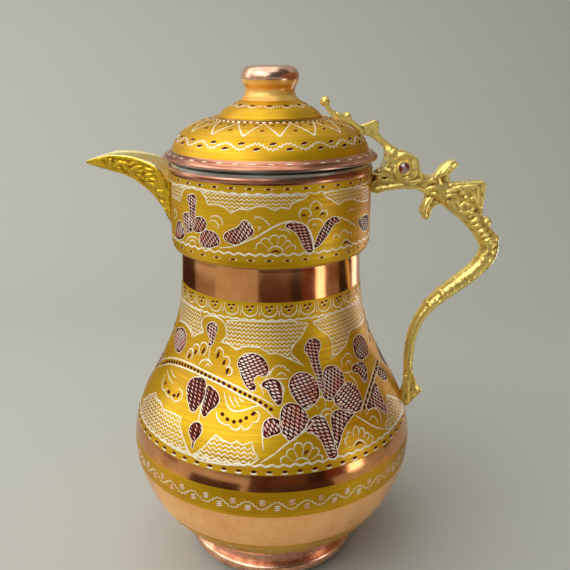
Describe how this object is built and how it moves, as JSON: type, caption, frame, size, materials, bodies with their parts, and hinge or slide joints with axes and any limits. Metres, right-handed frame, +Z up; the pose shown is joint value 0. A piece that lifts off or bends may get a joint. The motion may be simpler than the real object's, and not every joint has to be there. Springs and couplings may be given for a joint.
{
  "type": "lidded coffee pot",
  "caption": "Engraved copper coffee jug with a swelling body, straight collar, beak spout, hinged domed lid with a knob, and a cast dragon handle.",
  "frame": {"origin": "on the pot's axis, in the plane that the foot ring stands on", "axes": "+Z up along the pot's axis, +X towards the handle, -X towards the spout, Y along the lid's hinge pin"},
  "size_m": [0.1998, 0.1438, 0.2463],
  "materials": {
    "polished_copper": "polished bare copper",
    "lacquered_copper": "copper under yellow transparent lacquer, engraved through to bright metal",
    "cast_brass": "cast brass, lightly brushed",
    "spout_brass": "cast brass, lacquered",
    "hinge_brass": "drawn brass wire, peened",
    "tinned_copper": "copper sheet wiped with tin",
    "red_glass": "polished red glass stone"
  },
  "bodies": {
    "pot": {"foot_ring": "polished_copper", "lower_bowl": "lacquered_copper", "upper_body": "lacquered_copper", "collar": "lacquered_copper", "mouth_rim": "polished_copper", "spout": "spout_brass", "handle": "cast_brass", "eye_stones": "red_glass", "handle_studs": "polished_copper", "handle_roves": "polished_copper", "hinge_pin": "hinge_brass"},
    "lid": {"lid_dome": "lacquered_copper", "lid_tier": "lacquered_copper", "lid_knob": "polished_copper", "knob_screw": "hinge_brass", "knob_washer": "hinge_brass", "lid_skirt": "tinned_copper", "lid_lever": "cast_brass", "lever_rivets": "hinge_brass", "lever_roves": "polished_copper"}
  },
  "joints": [
    {"name": "lid_hinge", "type": "hinge", "parent": "pot", "child": "lid", "pos_m": [0.0575, 0, 0.20694], "axis": [0, 1, 0], "range_deg": [0, 110]}
  ]
}
